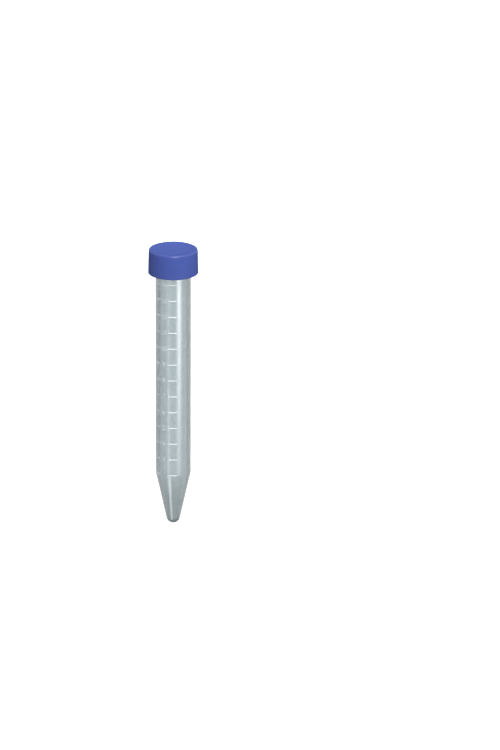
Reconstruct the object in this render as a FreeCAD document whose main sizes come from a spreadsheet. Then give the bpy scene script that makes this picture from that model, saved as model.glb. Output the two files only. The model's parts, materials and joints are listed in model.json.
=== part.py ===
import FreeCAD, Part
import math
import os
import Sketcher

# A 15 ml conical tube: a clear moulded tube with a graduated wall, a screw cap
# and the sealing disc that the cap carries.
#
# Each piece is drawn upright in its own frame: the tip touches z = 0, +Z runs up the
# axis to the mouth, and -Y is the graduated side. The finished part lies on its side,
# as it comes to rest on a bench. It touches the bench at two circles, the edge between
# the cone and the straight wall, and the lower edge of the cap. The tip points to -X,
# the cap to +X, and the graduations face up.

# Driving sizes in millimetres and degrees.
SIZES = [
    ("tube_radius", 7.75, "outside of the straight wall"),
    ("wall", 1.15, "thickness of the straight wall"),
    ("tube_length", 122.9, "tip to mouth"),
    ("cone_length", 23.7, "tip to the start of the straight wall"),
    ("tip_radius", 3.1, "outside of the rounded tip"),
    ("well_radius", 2.0, "inside of the rounded tip"),
    ("floor_thickness", 1.5, "plastic below the inside of the tip"),
    ("neck_step", 0.25, "how much narrower the neck's radius is than the straight wall's"),
    ("neck_length", 6.9, "mouth down to the foot of the neck"),
    ("neck_slope", 0.2, "height over which the neck widens to the straight wall"),
    ("mouth_round", 0.3, "rounding of the mouth's two edges"),
    ("thread_lead", 3.0, "rise of the cap in one turn"),
    ("thread_turns", 1.3, "length of the neck's thread"),
    ("cap_thread_turns", 1.0, "length of the cap's thread"),
    ("thread_depth", 1.05, "how far the neck's thread stands out"),
    ("thread_base", 1.5, "width of a thread at its root"),
    ("thread_crest", 0.7, "width of a thread at its crest"),
    ("thread_drop", 1.7, "mouth down to the middle of the thread's upper end"),
    ("thread_gap", 0.25, "radial clearance at each thread's crest"),
    ("millilitre_step", 1000.0, "volume from one graduation to the next, in cubic millimetres"),
    ("first_mark", 0.85, "start of the straight wall up to the lowest graduation"),
    ("mark_width", 0.45, "thickness of a graduation line"),
    ("mark_relief", 0.13, "how far a line stands out of the wall"),
    ("mark_sweep", 27.0, "angle that each half of a line covers"),
    ("numeral_gap", 32.0, "angle left free for the numeral between the two halves"),
    ("numeral_angle", -31.0, "middle of the numerals, turned from the front to the left"),
    ("cap_height", 10.85, "lower edge of the skirt to the top of the rim"),
    ("skirt_wall", 2.05, "thickness of the skirt at its lower edge"),
    ("skirt_draft", 0.25, "how much narrower the skirt's radius is at the top"),
    ("cap_plate", 2.05, "thickness of the top plate"),
    ("rim_height", 0.5, "rim above the top plate"),
    ("rim_width", 1.5, "width of the rim's foot"),
    ("rim_slope", 2.05, "how far the rim's inner side leans outwards"),
    ("rim_round", 0.9, "rounding of the rim's outer edge"),
    ("skirt_round", 0.25, "rounding of the skirt's lower edges"),
    ("liner_thickness", 0.95, "thickness of the sealing disc"),
    ("liner_gap", 0.3, "radial clearance of the sealing disc in the cap"),
    ("liner_seat", 0.05, "the disc's upper face to the cap's top plate"),
    ("bead_reach", 0.55, "how far the bead that holds the disc stands into the cap"),
    ("bead_height", 0.6, "height of the bead at the cap's wall"),
    ("bead_gap", 0.1, "the disc's lower face down to the bead"),
]

# Lengths that follow from the driving sizes, as expressions in the sheet's names.
BORE = "(Sizes.tube_radius - Sizes.wall)"
MARK_PITCH = f"(Sizes.millilitre_step / (pi * {BORE} ^ 2))"
MARK_TURN = "((Sizes.numeral_gap + Sizes.mark_sweep) / 2)"
NECK_RADIUS = "(Sizes.tube_radius - Sizes.neck_step)"
CREST_RADIUS = f"({NECK_RADIUS} + Sizes.thread_depth)"
CAP_BORE = f"({CREST_RADIUS} + Sizes.thread_gap)"
CAP_RADIUS = f"({CAP_BORE} + Sizes.skirt_wall)"
CAP_TOP_RADIUS = f"({CAP_RADIUS} - Sizes.skirt_draft)"
LINER_TOP = "(Sizes.tube_length + Sizes.liner_thickness)"
PLATE_BOTTOM = f"({LINER_TOP} + Sizes.liner_seat)"
PLATE_TOP = f"({PLATE_BOTTOM} + Sizes.cap_plate)"
TOTAL = f"({PLATE_TOP} + Sizes.rim_height)"
SKIRT_BOTTOM = f"({TOTAL} - Sizes.cap_height)"
BEAD_TOP = "(Sizes.tube_length - Sizes.bead_gap)"
NECK_BOTTOM = "(Sizes.tube_length - Sizes.neck_length)"
SHANK_TOP = f"({NECK_BOTTOM} - Sizes.neck_slope)"
THREAD_HEIGHT = "(Sizes.thread_lead * Sizes.thread_turns)"
THREAD_BOTTOM = f"(Sizes.tube_length - Sizes.thread_drop - {THREAD_HEIGHT})"
# The axis leans by this angle, because the cap is wider than the tube.
LEAN = f"atan(({CAP_RADIUS} - Sizes.tube_radius) / ({SKIRT_BOTTOM} - Sizes.cone_length))"

# A thread or a line starts this deep in its wall, so that the two fuse.
ROOT_OVERLAP = 0.1
# The round walls are drawn on a half-plane turned this far from +X, so that a flat of
# their facets faces the bench, and not a corner.
WALL_SEAM = "28.9"
# The neck's thread starts here, so that the part of it that laps over its start is
# centred on the side that faces the bench, where it steadies the lying tube.
THREAD_START = "(90 - 180 * (Sizes.thread_turns - floor(Sizes.thread_turns)))"


def make_sheet(doc):
    """Put every driving size in a spreadsheet, under its own name."""
    sheet = doc.addObject("Spreadsheet::Sheet", "Sizes")
    for row, (name, value, note) in enumerate(SIZES, start=1):
        sheet.set(f"A{row}", name)
        sheet.set(f"B{row}", str(value))
        sheet.setAlias(f"B{row}", name)
        sheet.set(f"C{row}", note)
    doc.recompute()
    return sheet


def value_of(sheet, expression):
    """Work out an expression now, for a sketch's first shape and for finding edges."""
    return float(sheet.evalExpression(expression))


def origin_plane(body, role):
    for feature in body.Origin.OriginFeatures:
        if feature.Role == role:
            return feature
    raise ValueError(f"{body.Label} has no {role}")


def half_plane_sketch(body, name, turn=WALL_SEAM):
    """A sketch whose x is the radius and whose y is the height, turned about the axis."""
    sketch = body.newObject("Sketcher::SketchObject", name)
    sketch.AttachmentSupport = [(origin_plane(body, "XZ_Plane"), "")]
    sketch.MapMode = "FlatFace"
    sketch.setExpression(
        "AttachmentOffset",
        f"placement(vector(0; 0; 0); rotation(vector(0; 1; 0); {turn}))",
    )
    return sketch


def fix_point(sketch, sheet, line, end, radius, height):
    """Tie one end of a line to a radius and a height."""
    if radius == "0":
        sketch.addConstraint(Sketcher.Constraint("PointOnObject", line, end, -2))
    else:
        across = Sketcher.Constraint("DistanceX", -1, 1, line, end, value_of(sheet, radius))
        sketch.setExpression(f"Constraints[{sketch.addConstraint(across)}]", radius)
    if height == "0":
        sketch.addConstraint(Sketcher.Constraint("PointOnObject", line, end, -1))
    else:
        up = Sketcher.Constraint("DistanceY", -1, 1, line, end, value_of(sheet, height))
        sketch.setExpression(f"Constraints[{sketch.addConstraint(up)}]", height)


def draw_outline(sketch, sheet, corners):
    """Draw a closed outline of straight lines through (radius, height) corners."""
    points = []
    for radius, height in corners:
        points.append(FreeCAD.Vector(value_of(sheet, radius), value_of(sheet, height), 0))
    lines = []
    for start, end in zip(points, points[1:] + points[:1]):
        lines.append(sketch.addGeometry(Part.LineSegment(start, end)))
    for line, following in zip(lines, lines[1:] + lines[:1]):
        sketch.addConstraint(Sketcher.Constraint("Coincident", line, 2, following, 1))
    for line, (radius, height) in zip(lines, corners):
        fix_point(sketch, sheet, line, 1, radius, height)


def tangent_lean(corner, centre_height, end_radius):
    """How far a line from a corner leans from the axis as it meets the cone's round end."""
    rise = corner.y - centre_height
    return math.acos(end_radius / math.hypot(corner.x, rise)) - math.atan2(rise, corner.x)


def draw_rounded_end(sketch, sheet, cone_line, cone_end, corner, radius, bottom):
    """Draw the round end of a cone, tangent to the cone's line and centred on the axis."""
    end_radius = value_of(sheet, radius)
    centre_height = value_of(sheet, bottom) + end_radius
    lean = tangent_lean(corner, centre_height, end_radius)
    circle = Part.Circle(
        FreeCAD.Vector(0, centre_height, 0), FreeCAD.Vector(0, 0, 1), end_radius
    )
    arc = sketch.addGeometry(Part.ArcOfCircle(circle, -math.pi / 2, -lean))
    sketch.addConstraint(Sketcher.Constraint("Tangent", arc, 2, cone_line, cone_end))
    sketch.addConstraint(Sketcher.Constraint("PointOnObject", arc, 3, -2))
    size = Sketcher.Constraint("Radius", arc, end_radius)
    sketch.setExpression(f"Constraints[{sketch.addConstraint(size)}]", radius)
    return arc


def tangent_point(corner, centre_height, end_radius):
    """Where a line from a corner touches the round end of a cone."""
    lean = tangent_lean(corner, centre_height, end_radius)
    return FreeCAD.Vector(
        end_radius * math.cos(lean), centre_height - end_radius * math.sin(lean), 0
    )


def draw_tube_wall(sketch, sheet):
    """Draw the tube's section: tip, cone, straight wall and neck, outside and inside."""
    outside = [
        ("Sizes.tube_radius", "Sizes.cone_length"),
        ("Sizes.tube_radius", SHANK_TOP),
        (NECK_RADIUS, NECK_BOTTOM),
        (NECK_RADIUS, "Sizes.tube_length"),
        (BORE, "Sizes.tube_length"),
        (BORE, "Sizes.cone_length"),
    ]
    corners = []
    for radius, height in outside:
        corners.append(FreeCAD.Vector(value_of(sheet, radius), value_of(sheet, height), 0))
    floor = value_of(sheet, "Sizes.floor_thickness")
    tip = value_of(sheet, "Sizes.tip_radius")
    well = value_of(sheet, "Sizes.well_radius")
    path = [tangent_point(corners[0], tip, tip)]
    path += corners
    path += [tangent_point(corners[-1], floor + well, well)]
    lines = []
    for start, end in zip(path, path[1:]):
        lines.append(sketch.addGeometry(Part.LineSegment(start, end)))
    for line, following in zip(lines, lines[1:]):
        sketch.addConstraint(Sketcher.Constraint("Coincident", line, 2, following, 1))
    for line, (radius, height) in zip(lines[1:], outside):
        fix_point(sketch, sheet, line, 1, radius, height)
    outer_arc = draw_rounded_end(
        sketch, sheet, lines[0], 1, corners[0], "Sizes.tip_radius", "0"
    )
    inner_arc = draw_rounded_end(
        sketch, sheet, lines[-1], 2, corners[-1], "Sizes.well_radius", "Sizes.floor_thickness"
    )
    axis = sketch.addGeometry(
        Part.LineSegment(FreeCAD.Vector(0, floor, 0), FreeCAD.Vector(0, 0, 0))
    )
    sketch.addConstraint(Sketcher.Constraint("Coincident", inner_arc, 1, axis, 1))
    sketch.addConstraint(Sketcher.Constraint("Coincident", outer_arc, 1, axis, 2))
    fix_point(sketch, sheet, axis, 1, "0", "Sizes.floor_thickness")
    fix_point(sketch, sheet, axis, 2, "0", "0")


def revolve(body, sketch, name, sweep=None):
    """Turn a sketch about the axis, all the way round or evenly to both sides."""
    turned = body.newObject("PartDesign::Revolution", name)
    turned.Profile = sketch
    turned.ReferenceAxis = (sketch, ["V_Axis"])
    if sweep is None:
        turned.Angle = 360
    else:
        turned.Midplane = True
        turned.setExpression("Angle", sweep)
    return turned


def round_edges(doc, body, base, name, size, circles):
    """Round the circular edges of the base feature that have these radii and heights."""
    doc.recompute()
    edges = []
    for number, edge in enumerate(base.Shape.Edges, start=1):
        if edge.Degenerated or not isinstance(edge.Curve, Part.Circle):
            continue
        for radius, height in circles:
            off = abs(edge.Curve.Radius - radius) + abs(edge.Curve.Center.z - height)
            if off < 1e-4:
                edges.append(f"Edge{number}")
    if len(edges) < len(circles):
        raise ValueError(f"{name}: {len(edges)} of {len(circles)} edges found")
    rounding = body.newObject("PartDesign::Fillet", name)
    rounding.Base = (base, edges)
    rounding.setExpression("Radius", size)
    return rounding


def wind_thread(body, sheet, name, root, crest, start, turns):
    """Wind a right-hand thread of trapezium section from its root radius to its crest."""
    sketch = half_plane_sketch(body, f"{name}_section", start)
    draw_outline(
        sketch,
        sheet,
        [
            (root, f"{THREAD_BOTTOM} - Sizes.thread_base / 2"),
            (crest, f"{THREAD_BOTTOM} - Sizes.thread_crest / 2"),
            (crest, f"{THREAD_BOTTOM} + Sizes.thread_crest / 2"),
            (root, f"{THREAD_BOTTOM} + Sizes.thread_base / 2"),
        ],
    )
    thread = body.newObject("PartDesign::AdditiveHelix", name)
    thread.Profile = sketch
    thread.ReferenceAxis = (sketch, ["V_Axis"])
    thread.Mode = 0
    thread.setExpression("Pitch", "Sizes.thread_lead")
    thread.setExpression("Height", f"Sizes.thread_lead * {turns}")
    thread.Angle = 0
    thread.Growth = 0
    thread.LeftHanded = False
    thread.Reversed = False
    return thread


def add_graduations(body, sheet):
    """Raise a graduation line for each millilitre up to the cap, parted for its numeral."""
    halves = []
    lowest = "(Sizes.cone_length + Sizes.first_mark)"
    room = f"({SKIRT_BOTTOM} - {lowest} - Sizes.mark_width)"
    for name, side in (("left", "-"), ("right", "+")):
        turn = f"(Sizes.numeral_angle {side} {MARK_TURN} - 90)"
        sketch = half_plane_sketch(body, f"mark_section_{name}", turn)
        sunk = f"Sizes.tube_radius - {ROOT_OVERLAP}"
        proud = "Sizes.tube_radius + Sizes.mark_relief"
        draw_outline(
            sketch,
            sheet,
            [
                (sunk, f"{lowest} - Sizes.mark_width / 2"),
                (proud, f"{lowest} - Sizes.mark_width / 2"),
                (proud, f"{lowest} + Sizes.mark_width / 2"),
                (sunk, f"{lowest} + Sizes.mark_width / 2"),
            ],
        )
        halves.append(revolve(body, sketch, f"mark_{name}", "Sizes.mark_sweep"))
    ladder = body.newObject("PartDesign::LinearPattern", "graduations")
    ladder.Originals = halves
    ladder.Direction = (halves[0].Profile[0], ["V_Axis"])
    ladder.Mode = "Spacing"
    ladder.setExpression("Offset", MARK_PITCH)
    ladder.setExpression("Occurrences", f"floor({room} / {MARK_PITCH}) + 1")
    body.Tip = ladder


def lay_down(body):
    """Lay the upright piece on its side, resting on the cone's edge and the cap's."""
    ahead = f"(({TOTAL} * cos({LEAN}) + {CAP_TOP_RADIUS} * sin({LEAN})) / 2)"
    above = f"(Sizes.tube_radius * cos({LEAN}) - Sizes.cone_length * sin({LEAN}))"
    body.setExpression(
        "Placement",
        f"placement(vector(-{ahead}; 0; {above}); rotation(-90 deg; 0 deg; {LEAN} - 90 deg))",
    )


def new_body(doc, label):
    body = doc.addObject("PartDesign::Body", label)
    body.Label = label
    return body


def make_tube(doc, sheet):
    """The tube: one moulding with its neck thread and graduation lines."""
    body = new_body(doc, "tube")
    section = half_plane_sketch(body, "tube_section")
    draw_tube_wall(section, sheet)
    shell = revolve(body, section, "tube_wall")
    mouth = value_of(sheet, "Sizes.tube_length")
    circles = [(value_of(sheet, radius), mouth) for radius in (NECK_RADIUS, BORE)]
    round_edges(doc, body, shell, "mouth_edges", "Sizes.mouth_round", circles)
    wind_thread(
        body,
        sheet,
        "neck_thread",
        f"{NECK_RADIUS} - {ROOT_OVERLAP}",
        CREST_RADIUS,
        THREAD_START,
        "Sizes.thread_turns",
    )
    add_graduations(body, sheet)
    lay_down(body)
    return body


def make_cap(doc, sheet):
    """The cap: one moulding with a skirt, a rim round a sunk top, a thread and a bead."""
    body = new_body(doc, "cap")
    rim_foot = f"({CAP_TOP_RADIUS} - Sizes.rim_width - Sizes.rim_slope)"
    rim_edge = f"({CAP_TOP_RADIUS} - Sizes.rim_width)"
    section = half_plane_sketch(body, "cap_section")
    draw_outline(
        section,
        sheet,
        [
            ("0", PLATE_BOTTOM),
            (CAP_BORE, PLATE_BOTTOM),
            (CAP_BORE, BEAD_TOP),
            (f"{CAP_BORE} - Sizes.bead_reach", BEAD_TOP),
            (CAP_BORE, f"{BEAD_TOP} - Sizes.bead_height"),
            (CAP_BORE, SKIRT_BOTTOM),
            (CAP_RADIUS, SKIRT_BOTTOM),
            (CAP_TOP_RADIUS, TOTAL),
            (rim_edge, TOTAL),
            (rim_foot, PLATE_TOP),
            ("0", PLATE_TOP),
        ],
    )
    shell = revolve(body, section, "cap_shell")
    top = value_of(sheet, TOTAL)
    bottom = value_of(sheet, SKIRT_BOTTOM)
    rim = round_edges(
        doc, body, shell, "rim_edge", "Sizes.rim_round",
        [(value_of(sheet, CAP_TOP_RADIUS), top)],
    )
    round_edges(
        doc, body, rim, "skirt_edges", "Sizes.skirt_round",
        [(value_of(sheet, CAP_RADIUS), bottom), (value_of(sheet, CAP_BORE), bottom)],
    )
    # The cap's thread starts half a turn from the tube's, midway between its turns.
    wind_thread(
        body,
        sheet,
        "cap_thread",
        f"{CAP_BORE} + {ROOT_OVERLAP}",
        f"{NECK_RADIUS} + Sizes.thread_gap",
        f"({THREAD_START} + 180)",
        "Sizes.cap_thread_turns",
    )
    lay_down(body)
    return body


def make_liner(doc, sheet):
    """The soft disc inside the cap that seals on the tube's mouth."""
    body = new_body(doc, "liner")
    section = half_plane_sketch(body, "liner_section")
    edge = f"({CAP_BORE} - Sizes.liner_gap)"
    draw_outline(
        section,
        sheet,
        [
            ("0", "Sizes.tube_length"),
            (edge, "Sizes.tube_length"),
            (edge, LINER_TOP),
            ("0", LINER_TOP),
        ],
    )
    revolve(body, section, "liner_disc")
    lay_down(body)
    return body


def check(doc, pieces):
    """Stop if any feature failed or any piece is missing, broken or in several solids."""
    for thing in doc.Objects:
        if "Invalid" in thing.State or "Error" in thing.State:
            raise RuntimeError(f"{thing.Label}: {thing.State}")
    for piece in pieces:
        shape = piece.Shape
        if shape.isNull() or not shape.isValid() or len(shape.Solids) != 1:
            raise RuntimeError(f"{piece.Label} isn't one valid solid")
        print(f"{piece.Label}: {shape.Volume:.1f} mm3, {len(shape.Faces)} faces")


def main():
    doc = FreeCAD.newDocument("conical_tube")
    sheet = make_sheet(doc)
    pieces = [make_tube(doc, sheet), make_liner(doc, sheet), make_cap(doc, sheet)]
    doc.recompute()
    check(doc, pieces)
    os.makedirs("parts", exist_ok=True)
    for piece in pieces:
        piece.Shape.exportStep(f"parts/{piece.Label}.step")


main()
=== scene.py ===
import json
import math
import bmesh
import bpy
from mathutils import Matrix, Vector


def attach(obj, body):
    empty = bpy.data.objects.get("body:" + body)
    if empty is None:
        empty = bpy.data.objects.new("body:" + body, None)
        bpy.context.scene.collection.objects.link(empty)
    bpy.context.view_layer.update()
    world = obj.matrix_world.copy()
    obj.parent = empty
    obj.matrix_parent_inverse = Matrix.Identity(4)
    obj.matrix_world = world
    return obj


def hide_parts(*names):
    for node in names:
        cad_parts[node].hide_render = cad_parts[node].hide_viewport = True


# A 15 ml conical tube lying on a bench: the clear tube, its graduation lines and
# numerals, the blue screw cap and the sealing disc under the cap.
#
# Each piece is drawn upright in the tube's own frame, in millimetres: the tip touches
# z = 0, +Z runs up the axis to the mouth, and -Y is the graduated side. Its mesh is
# then laid down where the frame has the tube, with the axis close to the frame's X.

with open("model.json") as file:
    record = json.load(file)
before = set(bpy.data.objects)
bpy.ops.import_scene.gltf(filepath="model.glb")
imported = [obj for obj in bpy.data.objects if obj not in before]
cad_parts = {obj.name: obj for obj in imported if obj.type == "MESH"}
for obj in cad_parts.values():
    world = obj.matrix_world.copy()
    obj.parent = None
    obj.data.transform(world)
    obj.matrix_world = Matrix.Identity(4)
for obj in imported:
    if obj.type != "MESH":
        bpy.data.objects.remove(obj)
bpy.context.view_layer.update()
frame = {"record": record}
record = frame["record"]

MM = 0.001

# The tube.
TUBE_RADIUS = 7.75
BORE = 6.6
TUBE_LENGTH = 122.9
CONE_LENGTH = 23.7
TIP_RADIUS = 3.1
WELL_RADIUS = 2.0
FLOOR_THICKNESS = 1.5
CONE_ROUND = 9.0
NECK_RADIUS = 7.5
NECK_BOTTOM = 116.0
NECK_SLOPE = 0.2
MOUTH_ROUND = 0.3

# The screw thread, and the distance between the rows of points that carry it.
THREAD_LEAD = 3.0
THREAD_DEPTH = 1.05
THREAD_GAP = 0.25
THREAD_BASE = 1.5
THREAD_CREST = 0.7
THREAD_BOTTOM = 117.3
THREAD_START = math.radians(36)
NECK_TURNS = 1.3
CAP_TURNS = 1.0
THREAD_FADE = 0.03
THREAD_ROW = 0.1

# The graduations: a line for each millilitre. Angles are in degrees from the front.
CUBIC_MM_PER_ML = 1000
LOWEST_MARK = 24.55
LOWEST_VOLUME = 2
MARKS = 13
MARK_PITCH = CUBIC_MM_PER_ML / (math.pi * BORE**2)
MARK_WIDTH = 0.45
MARK_SWEEP = 27
NUMERAL_GAP = 32
NUMERAL_ANGLE = -31
NUMERAL_HEIGHT = 2.4
NUMERAL_SQUEEZE = 0.82
PRINT_LIFT = 0.01
PRINT_DEPTH = 0.1
STRIP_WIDTH = 0.2
CURVE_STEPS = 4
# Points of a numeral that are closer than this are merged.
MERGE_DISTANCE = 0.002

# The cap.
CAP_BORE = 8.8
CAP_RADIUS = 10.85
CAP_TOP_RADIUS = 10.6
SKIRT_BOTTOM = 115.6
CAP_TOP = 126.45
PLATE_BOTTOM = 123.9
PLATE_TOP = 125.95
BEAD_TOP = 122.8
BEAD_REACH = 0.55
BEAD_HEIGHT = 0.6
BEAD_LIP = 0.1
RIM_ROUND = 0.9
RIM_WIDTH = 1.5
RIM_INNER_ROUND = 1.5
RIM_FOOT = 7.0
RIM_FOOT_ROUND = 3.0
SKIRT_ROUND = 0.25
# The rows of the thread start this far above the skirt's lower edge.
PLAIN_SKIRT = 0.4
# The wall above the bead is this much narrower than the bore, so that it gets no thread.
PLAIN_STEP = 0.001

# The sealing disc.
DISC_RADIUS = 8.5
DISC_TOP = 123.85
DISC_ROUND = 0.2
# The dent that the mouth presses in the disc, and the rounding inside and beside it.
DENT_DEPTH = 0.08
DENT_MARGIN = 0.1
DENT_ROUND = 0.05
DENT_INNER_ROUND = 0.3

# The outermost surfaces stay this far inside the solids, whose facets are chords.
INSET = 0.003

# How finely shapes are drawn: points round the axis, points in the tip's arc, the widest
# step of any other arc, and the angle from which an edge is sharp.
ROUND = 256
TIP_STEPS = 14
ARC_STEP = math.radians(6)
SHARP_EDGE = math.radians(35)

# How much frosted marks hide of what is behind them.
LINE_COVER = 0.2
NUMERAL_COVER = 0.12

# The studio, in metres.
BENCH_HALF_WIDTH = 4
SOFTBOX_DISTANCE = 0.5


def placement():
    """The tube's own frame in the row frame, from the joint that the cap turns on."""
    for joint in record["behaviour"]["joints"]:
        if joint["name"] == "cap_turn":
            mouth = Vector(joint["pos_m"])
            up = Vector(joint["axis"]).normalized()
    right = Vector((0, -1, 0))
    back = up.cross(right)
    turn = Matrix((right, back, up)).transposed().to_4x4()
    tip = mouth - TUBE_LENGTH * MM * up
    return Matrix.Translation(tip) @ turn


PLACE = placement()


# Shapes.


def round_corners(corners):
    """An outline through (radius, height, rounding) corners, with arcs where they round."""
    outline = []
    for number, (radius, height, rounding) in enumerate(corners):
        here = Vector((radius, height))
        if rounding == 0:
            outline.append(here)
            continue
        before = (Vector(corners[number - 1][:2]) - here).normalized()
        after = (Vector(corners[(number + 1) % len(corners)][:2]) - here).normalized()
        half = before.angle(after) / 2
        centre = here + (before + after).normalized() * rounding / math.sin(half)
        start = here + before * rounding / math.tan(half) - centre
        turn = start.angle_signed(here + after * rounding / math.tan(half) - centre)
        steps = max(2, math.ceil(abs(turn) / ARC_STEP))
        for step in range(steps + 1):
            outline.append(centre + Matrix.Rotation(-turn * step / steps, 2) @ start)
    return outline


def tip_arc(wall_radius, tip_radius, bottom):
    """The round end under a cone, from the axis out to where the cone's line touches it."""
    centre = bottom + tip_radius
    rise = CONE_LENGTH - centre
    to_wall = math.hypot(wall_radius, rise)
    lean = math.acos(tip_radius / to_wall) - math.atan2(rise, wall_radius)
    outline = []
    for step in range(TIP_STEPS + 1):
        angle = -math.pi / 2 + (math.pi / 2 - lean) * step / TIP_STEPS
        radius = tip_radius * math.cos(angle)
        outline.append(Vector((radius, centre + tip_radius * math.sin(angle))))
    outline[0].x = 0
    return outline


def rows(radius, bottom, top):
    """Points up a straight wall, close enough together to carry a thread."""
    count = math.ceil((top - bottom) / THREAD_ROW)
    heights = [bottom + (top - bottom) * row / count for row in range(count + 1)]
    return [Vector((radius, height)) for height in heights]


def thread_height(angle, height, start, turns):
    """How far a thread stands out at an angle and a height, as a share of its depth."""
    turned = ((angle - start) / math.tau) % 1
    share = 0
    while turned <= turns:
        off = abs(height - THREAD_BOTTOM - THREAD_LEAD * turned)
        side = (THREAD_BASE / 2 - off) / (THREAD_BASE / 2 - THREAD_CREST / 2)
        ends = min(turned, turns - turned) / THREAD_FADE
        share = max(share, min(1, side, ends))
        turned += 1
    return share


def turned_piece(name, outline, swell=None):
    """Turn an outline that starts and ends on the axis.

    swell(radius, height, angle) may change a radius.
    """
    shape = bmesh.new()
    rings = []
    for radius, height in outline:
        if radius == 0:
            rings.append([shape.verts.new((0, 0, height * MM))] * ROUND)
            continue
        ring = []
        for step in range(ROUND):
            angle = math.tau * step / ROUND
            out = swell(radius, height, angle) if swell else radius
            spot = Vector((out * math.cos(angle), out * math.sin(angle), height))
            ring.append(shape.verts.new(spot * MM))
        rings.append(ring)
    for lower, upper in zip(rings, rings[1:]):
        for step in range(ROUND):
            ahead = (step + 1) % ROUND
            corners = [lower[step], lower[ahead], upper[ahead], upper[step]]
            shape.faces.new(dict.fromkeys(corners))
    bmesh.ops.recalc_face_normals(shape, faces=shape.faces)
    return finish_piece(name, shape)


def finish_piece(name, shape):
    """Make an object of a shape, smooth but for its sharp edges, and lay it in place."""
    mesh = bpy.data.meshes.new(name)
    shape.to_mesh(mesh)
    shape.free()
    mesh.transform(PLACE)
    mesh.shade_smooth()
    mesh.set_sharp_from_angle(angle=SHARP_EDGE)
    piece = bpy.data.objects.new(name, mesh)
    bpy.context.scene.collection.objects.link(piece)
    return piece


def make_tube():
    """The clear tube: cone, straight wall and threaded neck, outside and inside."""

    def neck_thread(radius, height, angle):
        if radius != NECK_RADIUS:
            return radius
        share = thread_height(angle, height, THREAD_START, NECK_TURNS)
        return radius + THREAD_DEPTH * share

    outside = tip_arc(TUBE_RADIUS, TIP_RADIUS, INSET)
    wall = [
        (outside[-1].x, outside[-1].y, 0),
        (TUBE_RADIUS, CONE_LENGTH, CONE_ROUND),
        (TUBE_RADIUS, NECK_BOTTOM - NECK_SLOPE, 0),
    ]
    # The tip's arc has the first of these points.
    outside += round_corners(wall)[1:]
    outside += rows(NECK_RADIUS, NECK_BOTTOM, TUBE_LENGTH - MOUTH_ROUND)
    inside = tip_arc(BORE, WELL_RADIUS, FLOOR_THICKNESS)
    mouth = [
        (NECK_RADIUS, NECK_BOTTOM, 0),
        (NECK_RADIUS, TUBE_LENGTH, MOUTH_ROUND),
        (BORE, TUBE_LENGTH, MOUTH_ROUND),
        (BORE, CONE_LENGTH, CONE_ROUND),
        (inside[-1].x, inside[-1].y, 0),
    ]
    # The rows have the first two of these points, and the well's arc has the last.
    outline = outside + round_corners(mouth)[2:-1] + inside[::-1]
    return turned_piece("tube_body", outline, neck_thread)


def make_cap():
    """The screw cap: skirt, rim round a sunk top, bead and thread inside."""

    def cap_thread(radius, height, angle):
        if radius != CAP_BORE:
            return radius
        start = THREAD_START + math.pi
        depth = CAP_BORE - NECK_RADIUS - THREAD_GAP
        return radius - depth * thread_height(angle, height, start, CAP_TURNS)

    thread_top = BEAD_TOP - BEAD_HEIGHT
    section = [
        (0, PLATE_TOP, 0),
        (RIM_FOOT, PLATE_TOP, RIM_FOOT_ROUND),
        (CAP_TOP_RADIUS - RIM_WIDTH, CAP_TOP, RIM_INNER_ROUND),
        (CAP_TOP_RADIUS, CAP_TOP, RIM_ROUND),
        (CAP_RADIUS - INSET, SKIRT_BOTTOM, SKIRT_ROUND),
        (CAP_BORE, SKIRT_BOTTOM, SKIRT_ROUND),
        (CAP_BORE, thread_top, 0),
    ]
    # The rows have the last of these points.
    outline = round_corners(section)[:-1]
    outline += rows(CAP_BORE, SKIRT_BOTTOM + PLAIN_SKIRT, thread_top)
    bead_radius = CAP_BORE - BEAD_REACH
    plain_radius = CAP_BORE - PLAIN_STEP
    outline.append(Vector((bead_radius, BEAD_TOP - BEAD_LIP)))
    outline.append(Vector((bead_radius, BEAD_TOP)))
    outline.append(Vector((plain_radius, BEAD_TOP)))
    outline.append(Vector((plain_radius, PLATE_BOTTOM)))
    outline.append(Vector((0, PLATE_BOTTOM)))
    return turned_piece("screw_cap", outline, cap_thread)


def make_disc():
    """The soft sealing disc, with the dent that the tube's mouth has pressed in it."""
    dent = TUBE_LENGTH + DENT_DEPTH
    section = [
        (0, TUBE_LENGTH, 0),
        (BORE - DENT_MARGIN, TUBE_LENGTH, DENT_INNER_ROUND),
        (BORE + DENT_MARGIN, dent, DENT_ROUND),
        (NECK_RADIUS - DENT_MARGIN, dent, DENT_ROUND),
        (NECK_RADIUS + DENT_MARGIN, TUBE_LENGTH, DENT_ROUND),
        (DISC_RADIUS, TUBE_LENGTH, DISC_ROUND),
        (DISC_RADIUS, DISC_TOP, DISC_ROUND),
        (0, DISC_TOP, 0),
    ]
    return turned_piece("sealing_disc", round_corners(section))


def wrap(shape):
    """Wrap a flat shape, drawn in x across and y up and z out, round the tube's wall."""
    for vertex in shape.verts:
        across, up, out = vertex.co
        angle = math.radians(-90) + across / TUBE_RADIUS
        radius = TUBE_RADIUS + PRINT_LIFT + out
        vertex.co = Vector((radius * math.cos(angle), radius * math.sin(angle), up)) * MM


def make_graduations():
    """A line for each millilitre, parted by a gap for its numeral."""
    shape = bmesh.new()
    length = math.radians(MARK_SWEEP) * TUBE_RADIUS
    for number in range(MARKS):
        height = LOWEST_MARK + number * MARK_PITCH
        for side in (-1, 1):
            middle = NUMERAL_ANGLE + side * (NUMERAL_GAP + MARK_SWEEP) / 2
            centre = Vector((math.radians(middle) * TUBE_RADIUS, height, PRINT_DEPTH / 2))
            size = Matrix.Diagonal((length, MARK_WIDTH, PRINT_DEPTH, 1))
            bmesh.ops.create_cube(shape, size=1, matrix=Matrix.Translation(centre) @ size)
    cut_in_strips(shape)
    wrap(shape)
    return finish_piece("graduation_lines", shape)


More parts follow.
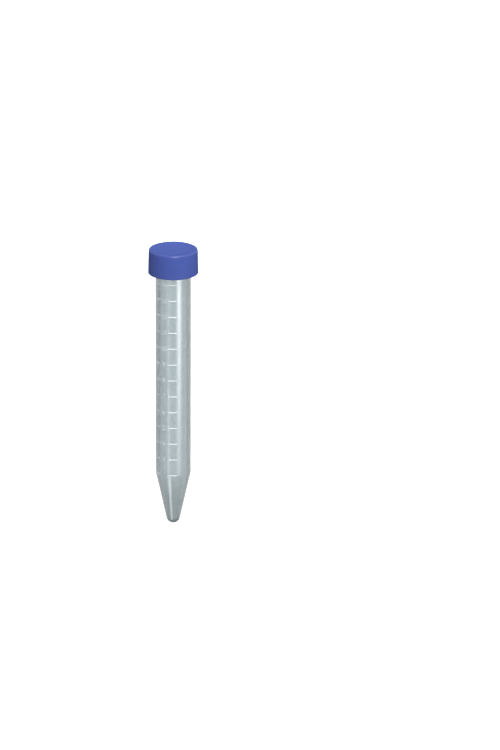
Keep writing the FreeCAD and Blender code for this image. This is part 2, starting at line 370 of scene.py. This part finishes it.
def cut_in_strips(shape):
    """Cut a flat shape in narrow upright strips, so that it wraps smoothly."""
    low = min(vertex.co.x for vertex in shape.verts)
    high = max(vertex.co.x for vertex in shape.verts)
    strips = math.ceil((high - low) / STRIP_WIDTH)
    across = (1, 0, 0)
    for strip in range(1, strips):
        cut = Vector((low + (high - low) * strip / strips, 0, 0))
        everything = shape.verts[:] + shape.edges[:] + shape.faces[:]
        bmesh.ops.bisect_plane(shape, geom=everything, plane_co=cut, plane_no=across)


def make_numerals():
    """The volume beside each line but the lowest, in millilitres."""
    shape = bmesh.new()
    for number in range(1, MARKS):
        curve = bpy.data.curves.new("numeral", "FONT")
        curve.body = str(LOWEST_VOLUME + number)
        curve.align_x = "CENTER"
        curve.align_y = "CENTER"
        curve.extrude = PRINT_DEPTH / 2
        curve.resolution_u = CURVE_STEPS
        text = bpy.data.objects.new("numeral", curve)
        bpy.context.scene.collection.objects.link(text)
        mesh = bpy.data.meshes.new_from_object(text)
        tall = max(vertex.co.y for vertex in mesh.vertices)
        low = min(vertex.co.y for vertex in mesh.vertices)
        size = NUMERAL_HEIGHT / (tall - low)
        across = math.radians(NUMERAL_ANGLE) * TUBE_RADIUS
        up = LOWEST_MARK + number * MARK_PITCH - size * (tall + low) / 2
        grow = Matrix.Diagonal((size * NUMERAL_SQUEEZE, size, 1, 1))
        mesh.transform(Matrix.Translation((across, up, PRINT_DEPTH / 2)) @ grow)
        shape.from_mesh(mesh)
        bpy.data.objects.remove(text)
        bpy.data.curves.remove(curve)
        bpy.data.meshes.remove(mesh)
    bmesh.ops.remove_doubles(shape, verts=shape.verts, dist=MERGE_DISTANCE)
    cut_in_strips(shape)
    bmesh.ops.remove_doubles(shape, verts=shape.verts, dist=MERGE_DISTANCE)
    wrap(shape)
    return finish_piece("volume_numerals", shape)


# Materials.


def new_material(name):
    material = bpy.data.materials.new(name)
    material.use_nodes = True
    nodes = material.node_tree.nodes
    return material, nodes, material.node_tree.links, nodes["Principled BSDF"]


def add_bump(nodes, links, shader, height, strength, distance):
    bump = nodes.new("ShaderNodeBump")
    bump.inputs["Strength"].default_value = strength
    bump.inputs["Distance"].default_value = distance
    links.new(height, bump.inputs["Height"])
    links.new(bump.outputs["Normal"], shader.inputs["Normal"])


def noise(nodes, links, scale, detail, stretch=(1, 1, 1)):
    """Noise in the frame's space at rest, finer or coarser along each of its axes."""
    place = nodes.new("ShaderNodeTexCoord")
    mapping = nodes.new("ShaderNodeMapping")
    mapping.inputs["Scale"].default_value = stretch
    texture = nodes.new("ShaderNodeTexNoise")
    texture.inputs["Scale"].default_value = scale
    texture.inputs["Detail"].default_value = detail
    links.new(place.outputs["Object"], mapping.inputs["Vector"])
    links.new(mapping.outputs["Vector"], texture.inputs["Vector"])
    return texture.outputs["Fac"]


def ramp(nodes, links, value, start, end, first, last):
    """A number that runs from first to last as a value runs from start to end."""
    change = nodes.new("ShaderNodeMapRange")
    change.inputs["From Min"].default_value = start
    change.inputs["From Max"].default_value = end
    change.inputs["To Min"].default_value = first
    change.inputs["To Max"].default_value = last
    links.new(value, change.inputs["Value"])
    return change.outputs["Result"]


def between(nodes, links, texture, low, high):
    """A number that runs from low to high over the middle range of a noise."""
    return ramp(nodes, links, texture, start=0.3, end=0.7, first=low, last=high)


def combine(nodes, links, operation, first, second=0.0):
    """The outcome of an operation on one number or two. The second may be a float."""
    result = nodes.new("ShaderNodeMath")
    result.operation = operation
    links.new(first, result.inputs[0])
    if isinstance(second, float):
        result.inputs[1].default_value = second
    else:
        links.new(second, result.inputs[1])
    return result.outputs["Value"]


def blend_colours(nodes, links, factor, first, second):
    mix = nodes.new("ShaderNodeMix")
    mix.data_type = "RGBA"
    mix.inputs["A"].default_value = (*first, 1)
    mix.inputs["B"].default_value = (*second, 1)
    links.new(factor, mix.inputs["Factor"])
    return mix.outputs["Result"]


def clear_plastic():
    """Clear moulded plastic, faintly grey-green, with slow waves from the mould."""
    material, nodes, links, shader = new_material("clear_plastic")
    shader.inputs["Base Color"].default_value = (0.92, 0.96, 0.97, 1)
    shader.inputs["Transmission Weight"].default_value = 0.96
    shader.inputs["IOR"].default_value = 1.5
    waves = noise(nodes, links, scale=120, detail=2, stretch=(0.04, 1, 1))
    links.new(between(nodes, links, waves, low=0.04, high=0.08), shader.inputs["Roughness"])
    add_bump(nodes, links, shader, waves, strength=0.02, distance=0.0002)
    absorb = nodes.new("ShaderNodeVolumeAbsorption")
    absorb.inputs["Color"].default_value = (0.315, 0.358, 0.369, 1)
    absorb.inputs["Density"].default_value = 870
    links.new(absorb.outputs["Volume"], nodes["Material Output"].inputs["Volume"])
    return material


def frosted_print(name, cover):
    """Raised marks of the same plastic, frosted, that hide a share of what is behind."""
    material, nodes, links, shader = new_material(name)
    grain = noise(nodes, links, scale=2500, detail=4)
    dull = (0.78, 0.84, 0.84)
    bright = (0.92, 0.96, 0.96)
    links.new(blend_colours(nodes, links, grain, dull, bright), shader.inputs["Base Color"])
    shader.inputs["Alpha"].default_value = cover
    links.new(between(nodes, links, grain, low=0.5, high=0.75), shader.inputs["Roughness"])
    add_bump(nodes, links, shader, grain, strength=0.3, distance=0.00003)
    return material


def rim_edge(nodes, links):
    """How far a spot stands out on the rounded outer edge of the cap's rim.

    Height and radius are added, less what they add up to where that edge starts and ends.
    The outcome is in millimetres.
    """
    place = nodes.new("ShaderNodeTexCoord")
    from_tip = nodes.new("ShaderNodeVectorMath")
    from_tip.operation = "SUBTRACT"
    links.new(place.outputs["Object"], from_tip.inputs[0])
    from_tip.inputs[1].default_value = PLACE.translation
    up = PLACE.to_3x3() @ Vector((0, 0, 1))
    height = nodes.new("ShaderNodeVectorMath")
    height.operation = "DOT_PRODUCT"
    sideways = nodes.new("ShaderNodeVectorMath")
    sideways.operation = "CROSS_PRODUCT"
    for part in (height, sideways):
        links.new(from_tip.outputs["Vector"], part.inputs[0])
        part.inputs[1].default_value = up
    radius = nodes.new("ShaderNodeVectorMath")
    radius.operation = "LENGTH"
    links.new(sideways.outputs["Vector"], radius.inputs[0])
    out = combine(nodes, links, "ADD", height.outputs["Value"], radius.outputs["Value"])
    edge = (CAP_TOP + CAP_TOP_RADIUS - RIM_ROUND) * MM
    beyond = combine(nodes, links, "SUBTRACT", out, edge)
    return combine(nodes, links, "DIVIDE", beyond, MM)


def blue_plastic():
    """Satin blue moulded plastic, with a faint cloud and fine lines down the skirt.

    The rim's outer edge is polished by handling, so it is glossier.
    """
    material, nodes, links, shader = new_material("blue_plastic")
    cloud = noise(nodes, links, scale=160, detail=3)
    drawn = noise(nodes, links, scale=1800, detail=2, stretch=(0.03, 1, 1))
    deep = (0.0304, 0.0461, 0.1627)
    light = (0.0343, 0.051, 0.1803)
    links.new(blend_colours(nodes, links, cloud, deep, light), shader.inputs["Base Color"])
    shader.inputs["Specular IOR Level"].default_value = 0
    edge = rim_edge(nodes, links)
    polish = ramp(nodes, links, edge, start=0.05, end=0.3, first=0.018, last=0.115)
    links.new(polish, shader.inputs["Coat Weight"])
    shader.inputs["Coat Roughness"].default_value = 0.12
    shader.inputs["Coat IOR"].default_value = 2.0
    links.new(between(nodes, links, cloud, low=0.3, high=0.4), shader.inputs["Roughness"])
    add_bump(nodes, links, shader, drawn, strength=0.25, distance=0.00006)
    return material


def sealing_disc():
    """The off-white foam of the sealing disc."""
    material, nodes, links, shader = new_material("sealing_disc")
    cells = noise(nodes, links, scale=3000, detail=4)
    dull = (0.72, 0.73, 0.70)
    bright = (0.80, 0.81, 0.78)
    links.new(blend_colours(nodes, links, cells, dull, bright), shader.inputs["Base Color"])
    links.new(between(nodes, links, cells, low=0.6, high=0.8), shader.inputs["Roughness"])
    add_bump(nodes, links, shader, cells, strength=0.4, distance=0.00005)
    return material


def pale_floor():
    """A pale matt bench top that glows evenly, and more in a strip under the tube.

    The strip is about as wide as the straight wall, and it is weaker under the cone, so
    the tube's clear edges and its cone look darker than its middle.
    """
    material, nodes, links, shader = new_material("pale_floor")
    shader.inputs["Base Color"].default_value = (0.22, 0.22, 0.22, 1)
    shader.inputs["Roughness"].default_value = 0.9
    shader.inputs["Emission Color"].default_value = (1, 1, 1, 1)
    place = nodes.new("ShaderNodeTexCoord")
    split = nodes.new("ShaderNodeSeparateXYZ")
    links.new(place.outputs["Object"], split.inputs["Vector"])
    aside = combine(nodes, links, "ABSOLUTE", split.outputs["Y"])
    strip = ramp(nodes, links, aside, start=0.0068, end=0.009, first=1.18, last=0)
    along = split.outputs["X"]
    under_wall = ramp(nodes, links, along, start=-0.057, end=-0.04, first=0.35, last=1)
    extra = combine(nodes, links, "MULTIPLY", strip, under_wall)
    even_glow = 0.9
    glow = combine(nodes, links, "ADD", extra, even_glow)
    links.new(glow, shader.inputs["Emission Strength"])
    return material


# The studio.


def make_floor():
    """The bench top, in the frame's ground plane."""
    shape = bmesh.new()
    bmesh.ops.create_grid(shape, x_segments=1, y_segments=1, size=BENCH_HALF_WIDTH)
    mesh = bpy.data.meshes.new("floor")
    shape.to_mesh(mesh)
    shape.free()
    floor = bpy.data.objects.new("floor", mesh)
    bpy.context.scene.collection.objects.link(floor)
    floor.data.materials.append(pale_floor())


def make_world():
    """A soft grey studio all round, with a pale band behind the bench's far edge."""
    world = bpy.data.worlds.new("studio")
    world.use_nodes = True
    bpy.context.scene.world = world
    nodes = world.node_tree.nodes
    links = world.node_tree.links
    place = nodes.new("ShaderNodeTexCoord")
    split = nodes.new("ShaderNodeSeparateXYZ")
    links.new(place.outputs["Generated"], split.inputs["Vector"])
    up = split.outputs["Z"]
    grey = ramp(nodes, links, up, start=0.06, end=0.1, first=0.9, last=0.36)
    links.new(grey, nodes["Background"].inputs["Color"])


def add_softbox(name, azimuth, along, width, length, power, dark, bright):
    """A softbox facing the cap's lower edge.

    Its azimuth is in degrees to the right of the front, along is how many metres up the
    tube's axis it is, and its power is in watts. Its light fades out to both sides. Over
    its length it rises from nothing at dark to full at bright, which are shares of the
    length from the end nearer the tip.
    """
    lamp = bpy.data.lights.new(name, "AREA")
    lamp.shape = "RECTANGLE"
    lamp.size = width
    lamp.size_y = length
    lamp.energy = power
    lamp.use_nodes = True
    nodes = lamp.node_tree.nodes
    links = lamp.node_tree.links
    place = nodes.new("ShaderNodeNewGeometry")
    across_along = nodes.new("ShaderNodeSeparateXYZ")
    links.new(place.outputs["Parametric"], across_along.inputs["Vector"])
    over_length = across_along.outputs["Y"]
    rise = ramp(nodes, links, over_length, start=dark, end=bright, first=0, last=1)
    # A ping-pong at a half is nothing at both sides and a half in the middle.
    swell = combine(nodes, links, "PINGPONG", across_along.outputs["X"], 0.5)
    strength = combine(nodes, links, "MULTIPLY", rise, swell)
    links.new(strength, nodes["Emission"].inputs["Strength"])
    box = bpy.data.objects.new(name, lamp)
    bpy.context.scene.collection.objects.link(box)
    angle = math.radians(azimuth)
    aim = Vector((0, 0, SKIRT_BOTTOM * MM))
    sideways = SOFTBOX_DISTANCE * math.sin(angle)
    spot = Vector((sideways, -SOFTBOX_DISTANCE * math.cos(angle), along))
    towards = (spot - aim).normalized()
    across = Vector((0, 0, 1)).cross(towards).normalized()
    up = towards.cross(across)
    turn = Matrix((across, up, towards)).transposed().to_4x4()
    box.matrix_world = PLACE @ Matrix.Translation(spot) @ turn


def light_the_tube():
    """Two softboxes along the tube, a fill in front of the cap and one beyond its end."""
    add_softbox(
        "right_softbox", azimuth=39, along=-0.155, width=0.46, length=0.19,
        power=8.2, dark=0.23, bright=1.157,
    )
    add_softbox(
        "left_softbox", azimuth=-29, along=-0.3, width=0.3, length=0.5,
        power=6, dark=1.0, bright=0.3,
    )
    add_softbox(
        "fill_softbox", azimuth=9, along=0.3, width=0.4, length=0.3,
        power=18.5, dark=0, bright=0.3,
    )
    add_softbox(
        "cap_softbox", azimuth=28, along=1.0, width=1.0, length=0.3,
        power=61, dark=0, bright=0.3,
    )


def make_camera():
    """Look down on the lying tube from the cap's side, as the upright tube is seen."""
    rise = math.radians(19.65)
    roll = math.radians(0.17)
    distance = 4.0
    seen_height = 0.326
    aim = Vector((0.03335, 0, 0.0685))
    right = Vector((1, 0, 0))
    towards = Vector((0, -math.cos(rise), math.sin(rise)))
    up = towards.cross(right)
    turn = Matrix((right, up, towards)).transposed().to_4x4()
    turn = turn @ Matrix.Rotation(roll, 4, "Z")
    lens = bpy.data.cameras.new("camera")
    lens.sensor_width = 36
    lens.lens = lens.sensor_width * distance / seen_height
    lens.clip_end = 30
    camera = bpy.data.objects.new("camera", lens)
    bpy.context.scene.collection.objects.link(camera)
    camera.matrix_world = PLACE @ Matrix.Translation(aim + towards * distance) @ turn
    bpy.context.scene.camera = camera


def dress(piece, material, body, *nodes):
    """Give a piece its material, let it ride on a body and stand for the CAD's nodes."""
    piece.data.materials.append(material)
    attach(piece, body)
    if nodes:
        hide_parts(*nodes)


def main():
    bpy.context.scene.view_settings.view_transform = "Standard"
    make_camera()
    make_world()
    make_floor()
    light_the_tube()

    tube = make_tube()
    dress(tube, clear_plastic(), "tube", "tube")
    lines = make_graduations()
    dress(lines, frosted_print("frosted_lines", LINE_COVER), "tube")
    numerals = make_numerals()
    dress(numerals, frosted_print("frosted_numerals", NUMERAL_COVER), "tube")
    cap = make_cap()
    dress(cap, blue_plastic(), "cap", "cap")
    disc = make_disc()
    dress(disc, sealing_disc(), "liner", "liner")


main()
